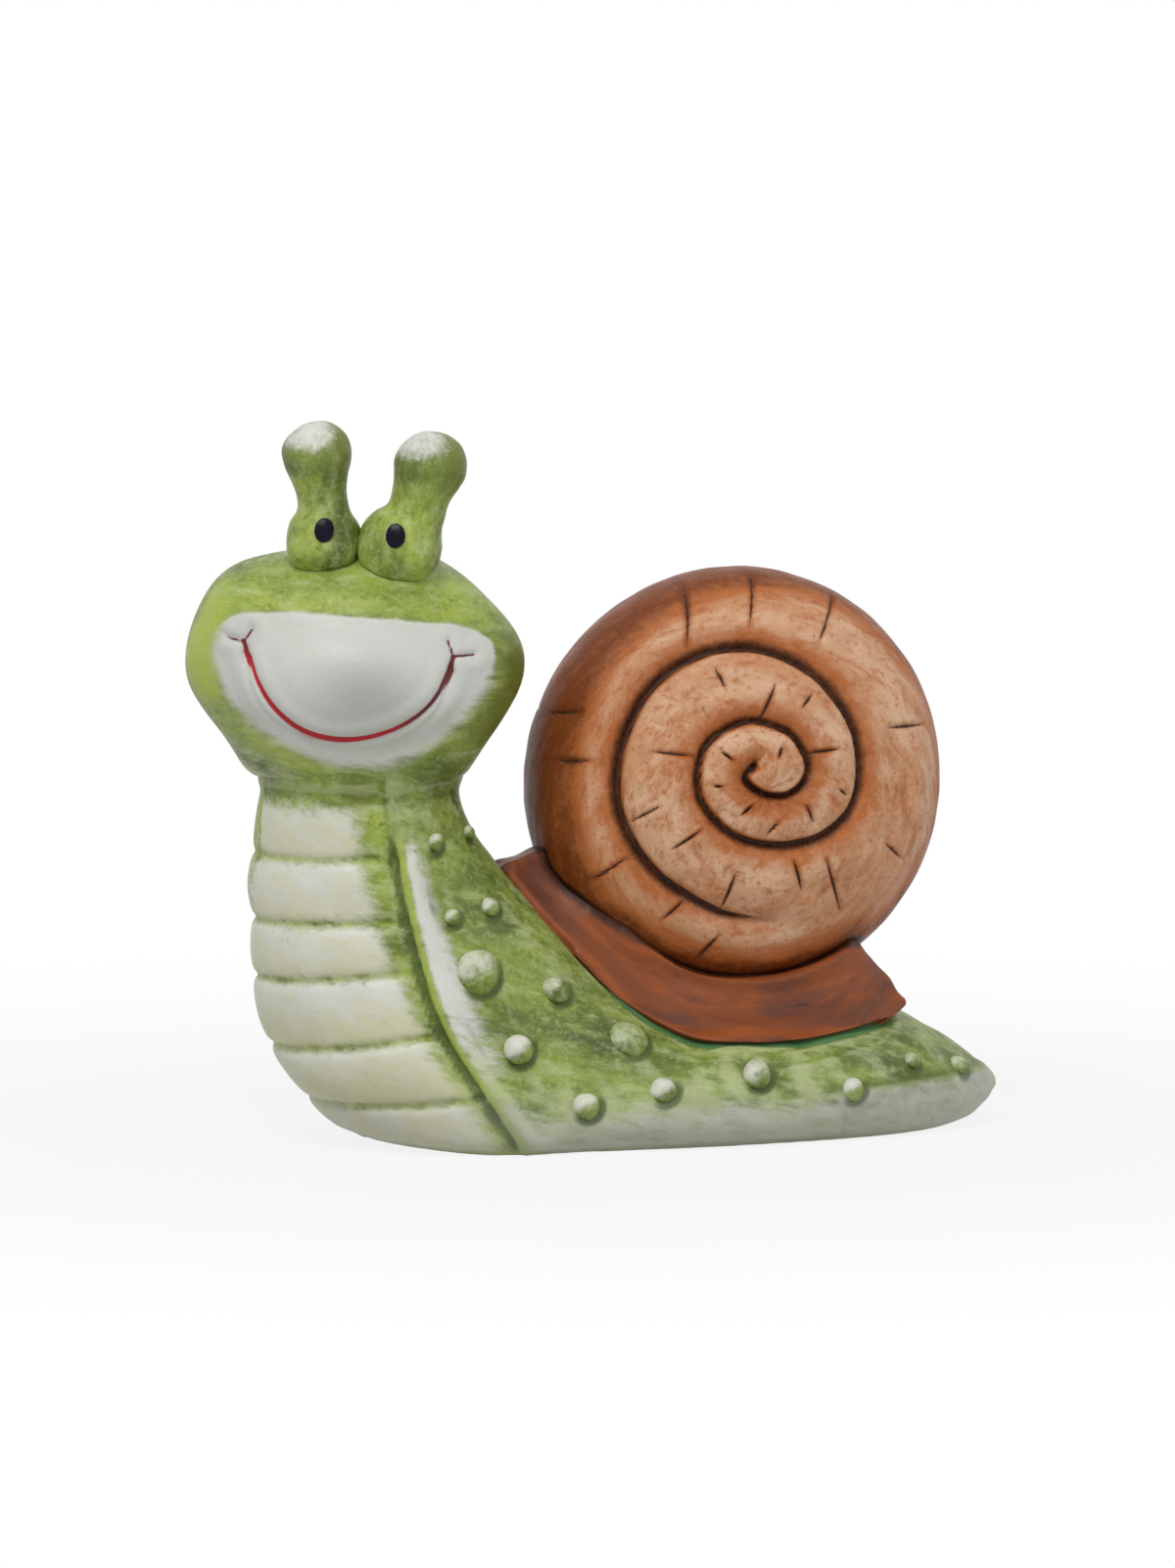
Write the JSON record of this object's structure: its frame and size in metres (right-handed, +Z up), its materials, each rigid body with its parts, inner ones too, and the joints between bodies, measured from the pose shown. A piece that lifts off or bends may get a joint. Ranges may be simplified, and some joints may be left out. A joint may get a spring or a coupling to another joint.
{
  "type": "snail figurine",
  "caption": "Painted ceramic garden snail with a smiling head, ball-ended feelers, a flat-bottomed curved foot and a large spiral shell on a saddle.",
  "frame": {"origin": "middle of the flat sole", "axes": "+X towards the tail, -Y towards the side that the face turns to, +Z up"},
  "size_m": [0.1713, 0.0688, 0.1504],
  "materials": {
    "body_green": "satin",
    "head_green": "satin",
    "feeler_green": "satin",
    "wart_green": "satin",
    "pupil_enamel": "gloss",
    "shell_tan": "satin",
    "saddle_brown": "satin"
  },
  "bodies": {
    "root": {"body": "body_green", "head": "head_green", "left_eye": "feeler_green", "right_eye": "feeler_green", "left_stalk": "feeler_green", "right_stalk": "feeler_green", "left_pupil": "pupil_enamel", "right_pupil": "pupil_enamel", "shell": "shell_tan", "saddle": "saddle_brown", "near_warts": "wart_green", "far_warts": "wart_green"}
  },
  "joints": []
}
